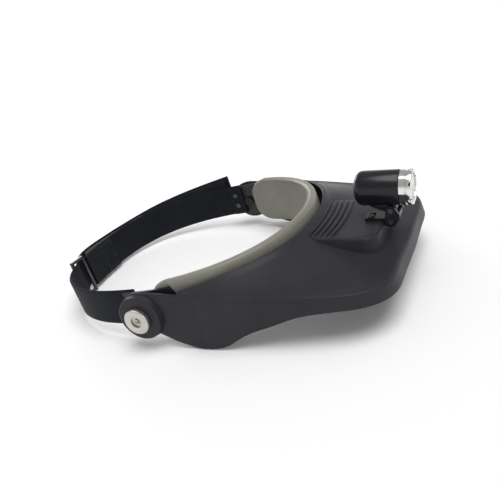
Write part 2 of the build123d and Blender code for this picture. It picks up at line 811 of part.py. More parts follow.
def lamp_housing():
    """Blind tube with a rounded tail and a saddle under it for the upper pin."""
    body = along_x(lamp_radius, lamp_rear, body_front, lamp_z)
    body = fillet(body.edges().filter_by(GeomType.CIRCLE).sort_by(Axis.X)[0], tail_round)
    half = bracket_half_width
    saddle_low = upper_pin_z - 0.2
    saddle_high = lamp_z - lamp_radius + 4.1
    saddle = make_face(Polyline((saddle_rear, saddle_low + 3.2), (saddle_rear + 7, saddle_low),
                                (upper_pin_x, saddle_low), (upper_pin_x + 2.6, saddle_high),
                                (saddle_rear, saddle_high), (saddle_rear, saddle_low + 3.2)))
    body += side_plate(saddle, -half, half)
    body += along_y(saddle_lug_radius, upper_pin_x, upper_pin_z, -half, half)
    body -= along_y(lamp_pin_radius + turn_gap, upper_pin_x, upper_pin_z, -half - 1, half + 1)
    return body - along_x(lamp_bore_radius, bore_start, body_front + 1, lamp_z)


def tube_x(outer, inner, start, end):
    """A tube along the lamp's axis."""
    return along_x(outer, start, end, lamp_z) - along_x(inner, start - 1, end + 1, lamp_z)


def battery_sleeve():
    """Plastic liner that centres the button cells."""
    return tube_x(lamp_bore_radius - turn_gap, cell_radius + cell_gap, bore_start + layer_gap,
                  cells_end - 0.3)


def contact_spring():
    """Conical contact spring behind the cells, drawn as a stepped coil of rings."""
    turns = 4
    pitch = spring_length / turns
    wire = pitch / 2 - 0.02
    spring = None
    for k in range(turns):
        x = bore_start + layer_gap + wire + k * (spring_length - 2 * wire - 2 * layer_gap) / (turns - 1)
        ring = Pos(x, 0, lamp_z) * Rot(0, 90, 0) * Torus(cell_radius - 1.2 - 0.5 * k, wire)
        spring = ring if spring is None else spring + ring
    post = along_x(0.9, bore_start + layer_gap, spring_end - layer_gap, lamp_z)
    reach = cell_radius - 1.4
    bars = box(bore_start + 0.3, spring_end - 0.3, -0.3, 0.3, lamp_z - reach, lamp_z + reach)
    return spring + post + bars


def button_cells():
    """Three button cells in a row, each with a raised positive face."""
    cells = []
    for k in range(cell_count):
        start = spring_end + k * (cell_height + layer_gap)
        can = along_x(cell_radius, start, start + cell_height - 0.5, lamp_z)
        cells.append(can + along_x(cell_radius - cell_step, start, start + cell_height, lamp_z))
    return Compound(children=cells)


def led_board():
    """Round contact board that carries the lamp's diode."""
    return along_x(lamp_bore_radius - spigot_wall - 2 * turn_gap, cells_end + 2 * layer_gap,
                   board_end, lamp_z)


def led():
    """Clear diode with a domed end."""
    start = board_end + layer_gap
    tip = start + led_height - led_radius
    dome = Pos(tip, 0, lamp_z) * Sphere(led_radius)
    flange = along_x(led_radius + 0.4, start, start + led_flange, lamp_z)
    return along_x(led_radius, start, tip, lamp_z) + flange + dome


def reflector():
    """Bright cup round the diode."""
    start, end = board_end + layer_gap + led_flange + 0.3, window_front - window_thickness - 2 * layer_gap
    outer = lamp_bore_radius - spigot_wall - turn_gap
    rim = bezel_inner - turn_gap
    cup = Cone(led_radius + 1.4, rim, end - start)
    hollow = Cone(led_radius + 0.3, rim - 0.8, end - start)
    place = Pos((start + end) / 2, 0, lamp_z) * Rot(0, 90, 0)
    web_front = body_front + layer_gap + bezel_web
    limit = along_x(outer, start - 1, web_front + 2 * layer_gap, lamp_z)
    limit += along_x(rim, web_front + layer_gap, end + 1, lamp_z)
    return (place * cup & limit) - place * hollow


def lamp_window():
    """Clear disc in front of the reflector."""
    return along_x(bezel_inner - turn_gap, window_front - window_thickness, window_front, lamp_z)


def lamp_bezel():
    """Bright head ring that turns in the housing to switch the lamp."""
    start = body_front + layer_gap
    ring = along_x(lamp_radius, start, bezel_front, lamp_z)
    ring = chamfer(ring.edges().filter_by(GeomType.CIRCLE).sort_by(Axis.X)[-1], bezel_chamfer)
    ring += along_x(lamp_bore_radius - turn_gap, start - spigot_length, start + 0.5, lamp_z)
    ring -= along_x(lamp_bore_radius - spigot_wall, start - spigot_length - 1, start + 1, lamp_z)
    ring -= along_x(bezel_inner, start + bezel_web, window_front + layer_gap, lamp_z)
    ring -= along_x(bezel_inner - 0.9, start + bezel_web, bezel_front + 1, lamp_z)
    for k in range(scallops):
        cut = along_y(scallop_radius, bezel_front + 0.7, 0, -lamp_radius - 1, -bezel_inner + 1)
        ring -= Pos(0, 0, lamp_z) * Rot(k * 360 / scallops, 0, 0) * cut
    groove = tube_x(lamp_radius + 1, lamp_radius - groove_depth, start + groove_start,
                    start + groove_start + groove_width)
    return ring - groove


# ==== placing and writing ====

def standing(shape, pitch):
    """Pitch a piece about the tilt axis, front up."""
    return Rot(0, -pitch, 0) * shape


band_pieces = {
    "brow_band": brow_band(), "brow_foam": brow_foam(), "pad_lining": pad_lining(),
    "pad_cover": pad_cover(), "left_strap": left_strap(), "right_strap": right_strap(),
    "hook_patch": hook_patch(), "strap_ring": strap_ring(), "strap_rivets": strap_rivets(),
}
for label, side in (("right", -1), ("left", 1)):
    band_pieces[label + "_pivot_screw"] = pivot_screw(side)
    band_pieces[label + "_friction_washer"] = friction_washer(side)
    band_pieces[label + "_knob"] = knob(side)

hood_pieces = {
    "hood_shell": hood_shell(), "lens_holder": lens_holder(), "lens": lens(),
    "lens_hinge_pins": lens_hinge_pins(), "lamp_bracket": lamp_bracket(),
    "bracket_screws": bracket_screws(), "lamp_link": lamp_link(),
    "lower_lamp_pin": lamp_pin(lower_pin_x, lower_pin_z),
    "upper_lamp_pin": lamp_pin(upper_pin_x, upper_pin_z),
    "lamp_housing": lamp_housing(), "battery_sleeve": battery_sleeve(),
    "contact_spring": contact_spring(), "button_cells": button_cells(),
    "led_board": led_board(), "led": led(), "reflector": reflector(),
    "lamp_window": lamp_window(), "lamp_bezel": lamp_bezel(),
}

pieces = {name: standing(shape, band_pitch) for name, shape in band_pieces.items()}
pieces.update({name: standing(shape, hood_pitch) for name, shape in hood_pieces.items()})
extents = [shape.bounding_box() for shape in pieces.values()]
back = min(extent.min.X for extent in extents)
front = max(extent.max.X for extent in extents)
ground = min(extent.min.Z for extent in extents)
onto_table = Pos(-(back + front) / 2, 0, -ground)
for name, shape in pieces.items():
    export_step(onto_table * shape, f"parts/{name}.step")
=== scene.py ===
import bmesh
import bpy
import json
import math
import numpy as np
from mathutils import Matrix, Vector


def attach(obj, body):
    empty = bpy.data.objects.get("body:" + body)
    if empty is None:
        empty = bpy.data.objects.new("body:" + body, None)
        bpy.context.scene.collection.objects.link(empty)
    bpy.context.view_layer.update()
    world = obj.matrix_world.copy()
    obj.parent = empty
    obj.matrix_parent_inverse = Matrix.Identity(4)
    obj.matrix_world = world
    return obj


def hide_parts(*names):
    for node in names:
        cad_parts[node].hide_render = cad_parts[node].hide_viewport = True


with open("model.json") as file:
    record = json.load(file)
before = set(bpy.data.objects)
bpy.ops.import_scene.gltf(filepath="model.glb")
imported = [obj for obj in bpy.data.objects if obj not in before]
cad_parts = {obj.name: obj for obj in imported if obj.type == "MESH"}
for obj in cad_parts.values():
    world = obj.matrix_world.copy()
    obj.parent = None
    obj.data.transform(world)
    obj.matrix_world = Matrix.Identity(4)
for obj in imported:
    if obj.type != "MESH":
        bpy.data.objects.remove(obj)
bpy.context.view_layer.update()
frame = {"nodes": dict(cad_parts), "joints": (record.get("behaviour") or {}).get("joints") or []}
cad = frame["nodes"]

# ==== Where the two halves sit ====
# The headband and the hood turn about one axis through the wearer's temples. Each is
# drawn level about that axis, in millimetres, and then pitched to how it lies here.
hinges = {joint["name"]: joint for joint in frame["joints"]}
tilt_axis = np.array(hinges["hood_tilt"]["pos_m"])
lamp_direction = hinges["bezel_twist"]["axis"]
hood_pitch = math.atan2(lamp_direction[2], lamp_direction[0])
band_pitch = hood_pitch + math.radians(8.0)


def lay(points, pitch):
    """Level points in mm to the shared frame: turned front up about the tilt axis, in metres."""
    x, y, z = (points[..., k] * 0.001 for k in range(3))
    c, s = math.cos(pitch), math.sin(pitch)
    return np.stack([x * c - z * s, y, x * s + z * c], -1) + tilt_axis


# ==== Camera, floor and soft light ====
# A view from the wearer's right and above, in wide daylight over a white table. The floor
# and the lights are only a stage for the piece.
camera_azimuth = math.radians(22.43)
camera_elevation = math.radians(30.92)
camera_roll = math.radians(13.3)
camera_aim = np.array([34.4, -0.45, 5.9])
camera_distance = 413.0
camera_lens = 42.34
floor_rings, floor_sides = [(5.0, 0.0), (7.5, 0.75), (9.0, 2.25), (10.0, 4.0)], 48
floor_white, sky_strength = (0.93, 0.93, 0.93), 0.42
day_place, day_spread, day_power = (0.22, -0.10, 0.95), math.radians(45), 2.0
side_place, side_size, side_power = (-0.75, 0.65, 0.30), 0.35, 2.2


def stage_camera():
    """Camera on the line of sight, turned with the piece's own pitch about the tilt axis."""
    a, e = camera_azimuth, camera_elevation
    sight = np.array([-math.sin(a) * math.cos(e), math.cos(a) * math.cos(e), -math.sin(e)])
    right = np.array([math.cos(a), math.sin(a), 0.0])
    axes = np.stack([right, np.cross(right, sight), -sight])
    place = lay(camera_aim - sight * camera_distance, -camera_roll)
    c, s = math.cos(camera_roll), math.sin(camera_roll)
    turned = axes @ np.array([[c, 0, -s], [0, 1, 0], [s, 0, c]])
    lens = bpy.data.cameras.new("camera")
    lens.lens = camera_lens
    lens.clip_start = 0.01
    camera = bpy.data.objects.new("camera", lens)
    bpy.context.scene.collection.objects.link(camera)
    camera.matrix_world = Matrix.Translation(place.tolist()) @ Matrix(turned.T.tolist()).to_4x4()
    bpy.context.scene.camera = camera


def stage_floor():
    """A white table at z = 0 that curves up far away, and an even white sky."""
    mesh = bpy.data.meshes.new("floor")
    turn = np.linspace(0, 2 * math.pi, floor_sides, endpoint=False)
    rings = [np.c_[r * np.cos(turn), r * np.sin(turn), np.full(floor_sides, z)] for r, z in floor_rings]
    index = np.arange(len(rings) * floor_sides).reshape(len(rings), floor_sides)
    after = np.roll(index, -1, axis=1)
    slopes = np.stack([index[:-1], after[:-1], after[1:], index[1:]], -1).reshape(-1, 4)
    mesh.from_pydata(np.concatenate(rings).tolist(), [], [index[0].tolist()] + slopes.tolist())
    floor = bpy.data.objects.new("floor", mesh)
    bpy.context.scene.collection.objects.link(floor)
    paint = bpy.data.materials.new("white_table")
    paint.use_nodes = True
    shader = paint.node_tree.nodes["Principled BSDF"]
    shader.inputs["Base Color"].default_value = (*floor_white, 1)
    shader.inputs["Roughness"].default_value = 0.9
    shader.inputs["Specular IOR Level"].default_value = 0.1
    mesh.materials.append(paint)
    sky = bpy.data.worlds.new("sky")
    bpy.context.scene.world = sky
    sky.use_nodes = True
    sky.node_tree.nodes["Background"].inputs["Color"].default_value = (1, 1, 1, 1)
    sky.node_tree.nodes["Background"].inputs["Strength"].default_value = sky_strength


def stage_light(name, kind, place, power, aim=(0, 0, 0)):
    """A light of the given kind that faces a point near the piece."""
    light = bpy.data.lights.new(name, kind)
    light.energy = power
    lamp = bpy.data.objects.new(name, light)
    bpy.context.scene.collection.objects.link(lamp)
    lamp.location = place
    lamp.rotation_euler = (Vector(place) - Vector(aim)).to_track_quat("Z", "Y").to_euler()
    return light


bpy.context.scene.view_settings.view_transform = "Standard"
stage_camera()
stage_floor()
stage_light("daylight", "SUN", day_place, day_power).angle = day_spread
stage_light("side", "AREA", side_place, side_power, (0, 0, 0.03)).size = side_size


# ==== Carrier: the springy band under the padding ====
# A black polypropylene strip moulded flat and bent round the brow, with a round ear at
# each temple for the tilt screw and a tongue behind it for the strap's rivets.
loop_front, loop_side, loop_rear = 83.3, 80.6, 94.7
front_power, rear_power = 2.08, 2.58
black_plastic = (0.011, 0.0112, 0.014)
worn_plastic = (0.018, 0.0182, 0.022)
patches_a_metre, patch_from, patch_to = 45, 0.35, 0.75
gloss_below, gloss_above = 0.05, 0.07
crease_angle = math.radians(38)


def loop_line(angle):
    """Radius of the headband line: a superellipse, longer and squarer at the back."""
    ahead, aside = np.abs(np.cos(angle)), np.abs(np.sin(angle))
    reach = np.where(np.cos(angle) >= 0, loop_front, loop_rear)
    power = np.where(np.cos(angle) >= 0, front_power, rear_power)
    return ((ahead / reach) ** power + (aside / loop_side) ** power) ** (-1 / power)


def beside_loop(degrees, offset, height):
    """Points in mm at an angle from straight ahead, moved out by offset along the line's normal."""
    degrees, offset, height = np.broadcast_arrays(degrees, offset, height)
    a, step = np.radians(degrees), np.radians(0.5)
    before, after = a - step, a + step
    dx = loop_line(after) * np.cos(after) - loop_line(before) * np.cos(before)
    dy = loop_line(after) * np.sin(after) - loop_line(before) * np.sin(before)
    length = np.hypot(dx, dy)
    x = loop_line(a) * np.cos(a) + offset * dy / length
    y = loop_line(a) * np.sin(a) - offset * dx / length
    return np.stack([x, y, height], -1)


def finish(name, colour, worn, roughness, grain_size, grain_depth, **sockets):
    """Moulded or plated finish: patches drift to the worn colour, fine noise gives the grain."""
    made = bpy.data.materials.new(name)
    made.use_nodes = True
    tree = made.node_tree
    shader = tree.nodes["Principled BSDF"]
    for socket, value in sockets.items():
        shader.inputs[socket.replace("_", " ")].default_value = value
    place = tree.nodes.new("ShaderNodeTexCoord").outputs["Object"]
    patches = noise(tree, place, patches_a_metre, 4)
    fine = noise(tree, place, 1 / grain_size, 2)
    blend = tree.nodes.new("ShaderNodeValToRGB")
    fresh, used = blend.color_ramp.elements
    fresh.position, used.position = patch_from, patch_to
    fresh.color, used.color = (*colour, 1), (*worn, 1)
    tree.links.new(patches, blend.inputs["Fac"])
    tree.links.new(blend.outputs["Color"], shader.inputs["Base Color"])
    gloss = tree.nodes.new("ShaderNodeMapRange")
    gloss.inputs["To Min"].default_value = roughness - gloss_below
    gloss.inputs["To Max"].default_value = roughness + gloss_above
    tree.links.new(patches, gloss.inputs["Value"])
    tree.links.new(gloss.outputs["Result"], shader.inputs["Roughness"])
    emboss(tree, shader, fine, grain_depth)
    return made


def noise(tree, place, scale, detail):
    """A soft noise pattern at so many cells a metre."""
    made = tree.nodes.new("ShaderNodeTexNoise")
    made.inputs["Scale"].default_value = scale
    made.inputs["Detail"].default_value = detail
    tree.links.new(place, made.inputs["Vector"])
    return made.outputs["Fac"]


def emboss(tree, shader, height, depth):
    """Raises the surface by a pattern, `depth` metres deep."""
    bump = tree.nodes.new("ShaderNodeBump")
    bump.inputs["Strength"].default_value = 1.0
    bump.inputs["Distance"].default_value = depth
    tree.links.new(height, bump.inputs["Height"])
    tree.links.new(bump.outputs["Normal"], shader.inputs["Normal"])


def coat_node(name, material):
    """Gives a carried-over part its finish."""
    cad[name].data.materials.clear()
    cad[name].data.materials.append(material)


coat_node("brow_band", finish("carrier_plastic", black_plastic, worn_plastic, 0.5, 0.0006, 0.00002))


# ==== Padding: the foam cushion and its wrap ====
# A strip of foam skinned in grey vinyl lies against the brow. A second skin of the same
# vinyl wraps over its edges and down the outside, cut back in a curve near each ear.
pad_low, pad_high, pad_end, pad_corner = -17.6, 18.2, 6.0, 15.0
cushion_inner, cushion_outer, cushion_crown = -2.2, 1.95, 0.6
wrap_middle, wrap_radius, wrap_thickness = 0.65, 2.85, 0.55
wrap_reach, wrap_sweep, wrap_crown = 71.5, 3.6, 0.5
wrap_stand, wrap_turn = 0.35, math.radians(205)
welt_radius, welt_offset, welt_drop = 0.45, -2.15, 0.9
end_taper, thinnest = 2.4, 0.02
grey_vinyl = (0.185, 0.180, 0.146)
pale_vinyl = (0.225, 0.218, 0.182)
leather_cells, leather_depth = 900, 0.00005


def skin(name, points, body, material, pitch, ends=True):
    """Lays a grid of points (rows, columns) and sews it into quads: each row is a closed
    profile, joined to the next, and the first and last rows are closed by flat ends."""
    points = lay(points, pitch)
    rows, columns = points.shape[:2]
    index = np.arange(rows * columns).reshape(rows, columns)
    wrapped = np.c_[index, index[:, :1]]
    quads = np.stack([wrapped[:-1, :-1], wrapped[:-1, 1:], wrapped[1:, 1:], wrapped[1:, :-1]], -1)
    faces = quads.reshape(-1, 4).tolist()
    if ends:
        faces += [index[0].tolist(), index[-1, ::-1].tolist()]
    mesh = bpy.data.meshes.new(name)
    mesh.from_pydata(points.reshape(-1, 3).tolist(), [], faces)
    lay_cloth_lines(mesh, points, wrapped, quads)
    tidy = bmesh.new()
    tidy.from_mesh(mesh)
    bmesh.ops.remove_doubles(tidy, verts=tidy.verts, dist=1e-7)
    bmesh.ops.recalc_face_normals(tidy, faces=tidy.faces)
    tidy.to_mesh(mesh)
    tidy.free()
    mesh.shade_smooth()
    mesh.set_sharp_from_angle(angle=crease_angle)
    mesh.materials.append(material)
    piece = bpy.data.objects.new(name, mesh)
    bpy.context.scene.collection.objects.link(piece)
    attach(piece, body)
    return piece


def lay_cloth_lines(mesh, points, wrapped, quads):
    """UV in metres: distance along the rows' middle line, and round the middle row's profile."""
    along = np.r_[0, np.cumsum(np.linalg.norm(np.diff(points.mean(1), axis=0), axis=1))]
    ring = points.reshape(-1, 3)[wrapped[len(points) // 2]]
    around = np.r_[0, np.cumsum(np.linalg.norm(np.diff(ring, axis=0), axis=1))]
    a, b = np.meshgrid(along, around, indexing="ij")
    corners = [(slice(None, -1), slice(None, -1)), (slice(None, -1), slice(1, None)),
               (slice(1, None), slice(1, None)), (slice(1, None), slice(None, -1))]
    uv = np.stack([np.stack([a[c], b[c]], -1) for c in corners], 2).reshape(-1, 2)
    spare = np.zeros((len(mesh.loops) - len(uv), 2))
    layer = mesh.uv_layers.new(name="cloth_lines")
    layer.data.foreach_set("uv", np.r_[uv, spare].ravel())


def stadium(inner, outer, low, high, sides=18, turns=9):
    """A closed profile (offset, height): two long sides joined by half circles."""
    r = (outer - inner) / 2
    middle = (outer + inner) / 2
    up = np.linspace(low + r, high - r, sides)
    over = np.linspace(math.pi, 0, turns)
    under = np.linspace(0, -math.pi, turns)
    offset = np.r_[np.full(sides, inner), middle + r * np.cos(over)[1:-1],
                   np.full(sides, outer), middle + r * np.cos(under)[1:-1]]
    height = np.r_[up, high - r + r * np.sin(over)[1:-1], up[::-1],
                   low + r + r * np.sin(under)[1:-1]]
    return offset, height


def brow_cushion(material):
    """Stadium profile carried round the brow; it narrows to the pad's round ends."""
    reach = 90 - math.degrees(math.asin(pad_end / loop_side))
    s = np.sin(np.linspace(-1, 1, 161) * math.pi / 2)[:, None]
    degrees = reach * s
    offset, height = stadium(cushion_inner, cushion_outer, pad_low, pad_high, 26)
    middle, half = (pad_low + pad_high) / 2, (pad_high - pad_low) / 2
    x = beside_loop(degrees, 0, 0)[..., 0]
    short = np.clip(pad_end + pad_corner - x, 0, pad_corner)
    tall = (half - pad_corner + np.sqrt(np.maximum(pad_corner ** 2 - short ** 2, 0.3))) / half
    thick = np.sqrt(np.clip((x - pad_end + 0.05) / end_taper, thinnest, 1))
    swell = cushion_crown * (1 - ((height - middle) / half) ** 2) * (offset < 0)
    centre = (cushion_inner + cushion_outer) / 2
    points = beside_loop(degrees, centre + (offset - centre - swell) * thick,
                         middle + (height - middle) * tall)
    return skin("brow_cushion", points, "headband", material, band_pitch)


def brow_wrap(material):
    """A hook-shaped profile: lip, over the top edge, down the outside and under the bottom."""
    turn = np.linspace(wrap_turn, 0, 16)
    top, bottom = pad_high + wrap_stand - wrap_radius, pad_low - wrap_stand + wrap_radius
    down = np.linspace(top, bottom, 22)[1:-1]
    part = (down - (top + bottom) / 2) / (top - bottom) * 2
    crown = wrap_crown * np.sqrt(np.clip(1 - part ** 2, 0, 1))
    paths = []
    for r in (wrap_radius, wrap_radius - wrap_thickness):
        offset = np.r_[wrap_middle + r * np.cos(turn), wrap_middle + r + crown,
                       (wrap_middle + r * np.cos(turn))[::-1]]
        height = np.r_[top + r * np.sin(turn), down, (bottom - r * np.sin(turn))[::-1]]
        paths.append((offset, height))
    offset = np.r_[paths[0][0], paths[1][0][::-1]]
    height = np.r_[paths[0][1], paths[1][1][::-1]]
    middle = (pad_low + pad_high) / 2
    flare = ((height - middle) / (pad_high - middle)) ** 2
    s = np.linspace(-1, 1, 141)[:, None]
    degrees = s * (wrap_reach + wrap_sweep * flare * np.abs(s) ** 6)
    return skin("brow_wrap", beside_loop(degrees, offset, height), "headband", material, band_pitch)


def welt(name, z, material):
    """A round cord sewn along the cushion where the wrap's lip ends; it tapers at its ends."""
    turn = np.linspace(0, 2 * math.pi, 12, endpoint=False)
    s = np.linspace(-1, 1, 181)[:, None]
    thick = welt_radius * np.sqrt(np.clip(1 - s ** 20, thinnest, 1))
    degrees = s * (wrap_reach + wrap_sweep * np.abs(s) ** 6)
    points = beside_loop(degrees, welt_offset + thick * np.cos(turn), z + thick * np.sin(turn))
    return skin(name, points, "headband", material, band_pitch)


def vinyl(name, colour, pale):
    """Soft vinyl: small leather cells, a slow colour drift, a satin coat."""
    made = finish(name, colour, pale, 0.42, 0.0009, 0.00003)
    tree = made.node_tree
    shader = tree.nodes["Principled BSDF"]
    cells = tree.nodes.new("ShaderNodeTexVoronoi")
    cells.inputs["Scale"].default_value = leather_cells
    tree.links.new(tree.nodes["Texture Coordinate"].outputs["Object"], cells.inputs["Vector"])
    emboss(tree, shader, cells.outputs["Distance"], leather_depth)
    return made


pad_skin = vinyl("pad_vinyl", grey_vinyl, pale_vinyl)
cushion = brow_cushion(pad_skin)
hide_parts("pad_lining", "brow_foam")
wrap = brow_wrap(pad_skin)
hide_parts("pad_cover")
for name, z in (("upper_welt", pad_high - welt_drop), ("lower_welt", pad_low + welt_drop)):
    welt(name, z, pad_skin)


# ==== Straps ====
# Two lengths of black woven elastic riveted to the carrier's tongues. The short one, on the
# left, is folded back round the ring; the long one passes through it and doubles back.
band_low, band_high, strap_thickness = -9.1, 15.6, 1.4
strap_middle, strap_start = 1.3, 92.9
short_end, fold_start, hem_end = 193.2, 173.0, 100.5
long_tail, long_root = 99.6, 267.1
over_gap, bow, tail_rise, rise_start = 2.45, 7.2, 9.0, 172
layer_step, web_squash = 0.97, 0.75
web_ribs, web_warps, web_depth = 190, 260, 0.00008
black_web = (0.0085, 0.0095, 0.0135)
worn_web = (0.0125, 0.0138, 0.0190)


def smooth_rows(rows, at):
    """Smooth curve through rows of (place, value): cubic pieces with averaged slopes."""
    place, value = np.array(rows, float).T
    slope = np.diff(value) / np.diff(place)
    tangent = np.r_[slope[0], (slope[:-1] + slope[1:]) / 2, slope[-1]]
    at = np.clip(at, place[0], place[-1])
    k = np.clip(np.searchsorted(place, at, side="right") - 1, 0, len(slope) - 1)
    span = place[k + 1] - place[k]
    t = (at - place[k]) / span
    rise = value[k + 1] - value[k]
    return (value[k] + rise * t * t * (3 - 2 * t)
            + span * t * (1 - t) * (tangent[k] * (1 - t) - tangent[k + 1] * t))


def long_strap_line(degrees):
    """Offset of the long strap's middle from the headband line, and how far it climbs."""
    over = strap_middle + over_gap
    offset = smooth_rows([(140, over), (146, over), (152, over), (160, over + bow * 0.2),
                          (170, over + bow * 0.65), (180, over + bow), (187, over + bow * 0.95),
                          (191.5, over + bow * 0.62), (195.4, over + bow * 0.28),
                          (200.2, strap_middle + 0.4), (206, strap_middle),
                          (210, strap_middle), (216, strap_middle)], degrees)
    part = np.clip((rise_start - degrees) / (rise_start - long_tail), 0, 1)
    return offset, tail_rise * part ** 1.4


def strap(name, degrees, middle, lift, material, half=strap_thickness / 2, inset=0.0):
    """A flat band with soft edges carried along an offset line round the head."""
    offset, height = stadium(-half, half, band_low + inset, band_high - inset, 14, 7)
    squash = np.where(np.abs(offset) < half * 0.999, web_squash, 1.0)
    row = (np.asarray(middle) + np.zeros_like(degrees))[:, None]
    points = beside_loop(degrees[:, None], row + offset * squash,
                         height + (np.asarray(lift) + np.zeros_like(degrees))[:, None])
    return skin(name, points, "headband", material, band_pitch)


def webbing(name, colour, worn):
    """Woven elastic: ribs across the band crossed by fine warp lines, with a soft sheen."""
    made = finish(name, colour, worn, 0.62, 0.0005, 0.00002,
                  Specular_IOR_Level=0.10, Sheen_Weight=0.02, Sheen_Roughness=0.4)
    tree = made.node_tree
    shader = tree.nodes["Principled BSDF"]
    lines = tree.nodes.new("ShaderNodeUVMap")
    lines.uv_map = "cloth_lines"
    waves = []
    for direction, scale in (("X", web_ribs), ("Y", web_warps)):
        wave = tree.nodes.new("ShaderNodeTexWave")
        wave.bands_direction = direction
        wave.inputs["Scale"].default_value = scale
        wave.inputs["Distortion"].default_value = 0.4
        tree.links.new(lines.outputs["UV"], wave.inputs["Vector"])
        waves.append(wave.outputs["Fac"])
    weave = tree.nodes.new("ShaderNodeMath")
    weave.operation = "MULTIPLY"
    tree.links.new(waves[0], weave.inputs[0])
    tree.links.new(waves[1], weave.inputs[1])
    emboss(tree, shader, weave.outputs["Value"], web_depth)
    return made


web = webbing("strap_web", black_web, worn_web)
short_run = np.linspace(strap_start, short_end, 150)
short_strap = strap("short_strap", short_run, strap_middle, 0, web)
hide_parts("left_strap")
fold_run = np.linspace(fold_start, short_end, 40)
under = strap_middle - strap_thickness * layer_step
fold = strap("short_strap_fold", fold_run, under, 0, web)
hem_run = np.linspace(strap_start, hem_end, 24)
hem = strap("short_strap_hem", hem_run, under, 0, web)
long_run = np.linspace(long_tail, long_root, 240)
long_offset, long_lift = long_strap_line(long_run)
long_strap = strap("long_strap", long_run, long_offset, long_lift, web)
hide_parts("right_strap")


# ==== Hood ====
# One fine-grained ABS moulding: an arched top with a beaded rear rim, and a side wall that
# drops into two wings and flares to a lip in front.
hood_wall, hood_side = 2.2, 87.95
hood_plan = [(146.3, 0), (145.7, 32), (142.6, 57.5), (133.5, 69.0), (116, 76.5), (79, 84.0),
             (50, hood_side - 0.3), (27, hood_side)]
hem_rows = [(27, -20.0), (34, -21.5), (46, -21.0), (54, -18.6), (62, -13.4), (70, -9.4),
            (80, -6.0), (99, 0.3), (117, 1.9), (147, 1.6)]
flare_rows = [(120, 0), (132, 0.3), (145, 1)]
wing_start, hood_length = 27, 119.3
rim_in, rim_front, rim_top = 3.2, 87.5, 24.2
rim_sweep, rim_fall = (-22.6, -32.8, -4.1), (6.0, -17.9, 3.3)
crease_rear, crease_fall, crease_round, crease_round_inside = 15.6, 4.3, 2.4, 1.0
lip_flare, crown_power = 2.6, 1.7
bead_height, bead_width, bead_power = 0.9, 4.2, 1.5
hood_grey = (0.0235, 0.0238, 0.0285)
hood_worn = (0.0290, 0.0292, 0.0345)


def through(knots, t):
    """Natural cubic spline through plan points, by chord length; returns points and headings."""
    knots = np.array(knots, float)
    s = np.r_[0, np.cumsum(np.linalg.norm(np.diff(knots, axis=0), axis=1))]
    h = np.diff(s)
    i = np.arange(1, len(s) - 1)
    bend, load = np.eye(len(s)), np.zeros_like(knots)
    bend[i, i - 1], bend[i, i], bend[i, i + 1] = h[:-1], 2 * (h[:-1] + h[1:]), h[1:]
    load[i] = 6 * np.diff(np.diff(knots, axis=0) / h[:, None], axis=0)
    m = np.linalg.solve(bend, load)
    at = np.clip(t, 0, 1) * s[-1]
    k = np.clip(np.searchsorted(s, at, side="right") - 1, 0, len(h) - 1)
    w, span = ((s[k + 1] - at) / h[k])[..., None], h[k][..., None]
    v = 1 - w
    place = (w * knots[k] + v * knots[k + 1]
             + ((w ** 3 - w) * m[k] + (v ** 3 - v) * m[k + 1]) * span ** 2 / 6)
    heading = ((knots[k + 1] - knots[k]) / span
               + ((3 * v ** 2 - 1) * m[k + 1] - (3 * w ** 2 - 1) * m[k]) * span / 6)
    return place, heading / np.linalg.norm(heading, axis=-1, keepdims=True)


def outline(u, inset):
    """The hood's plan, moved inward; u runs from -1 on the right to 1 on the left."""
    knots = [(x, -y) for x, y in reversed(hood_plan)] + hood_plan[1:]
    place, heading = through(knots, (u + 1) / 2)
    return place + inset * np.stack([-heading[..., 1], heading[..., 0]], -1)


def rim_line(u):
    """The rear rim: an arch over the brow that sinks to the ears. Place ahead and height are
    cubics in the square of the way out to the side."""
    out = np.sin(np.pi / 2 * u)
    powers = np.stack([out ** 2, out ** 4, out ** 6], -1)
    return np.stack([rim_front + powers @ rim_sweep, (hood_side - rim_in) * out,
                     rim_top + powers @ rim_fall], -1)


def hood_corners(u, depth):
    """Rim, crease and hem points of one side of the sheet, `depth` in from the outside."""
    rim = rim_line(u) - np.array([0, 0, depth])
    outer = outline(u, 0)
    crease = crease_rear - crease_fall * (outer[:, 0] - wing_start) / hood_length
    edge = np.c_[outline(u, depth), crease - depth]
    hem = np.c_[outline(u, depth), smooth_rows(hem_rows, outer[:, 0])]
    hem[:, 0] += lip_flare * smooth_rows(flare_rows, outer[:, 0])
    return rim, edge, hem


def hood_top(rim, edge, t, bead):
    """From rim to crease: straight in plan, falling as a power curve, with the rim's bead."""
    t = np.atleast_2d(t)
    point = rim[:, None] + (edge - rim)[:, None] * t[..., None]
    run = np.linalg.norm((edge - rim)[:, :2], axis=1)[:, None]
    width = np.minimum(bead_width, 0.55 * run)
    rise = bead * (width / bead_width) * np.clip(1 - (t * run / width) ** 2, 0, 1) ** bead_power
    fall = (1 - t) ** crown_power
    point[..., 2] = edge[:, None, 2] + (rim - edge)[:, None, 2] * fall + rise
    return point


def rounded(before, corner, after, count):
    """A quadratic curve from one point to another, drawn toward the corner between them."""
    s = np.linspace(0, 1, count)[:, None]
    return ((1 - s) ** 2 * before[:, None] + 2 * s * (1 - s) * corner[:, None]
            + s ** 2 * after[:, None])


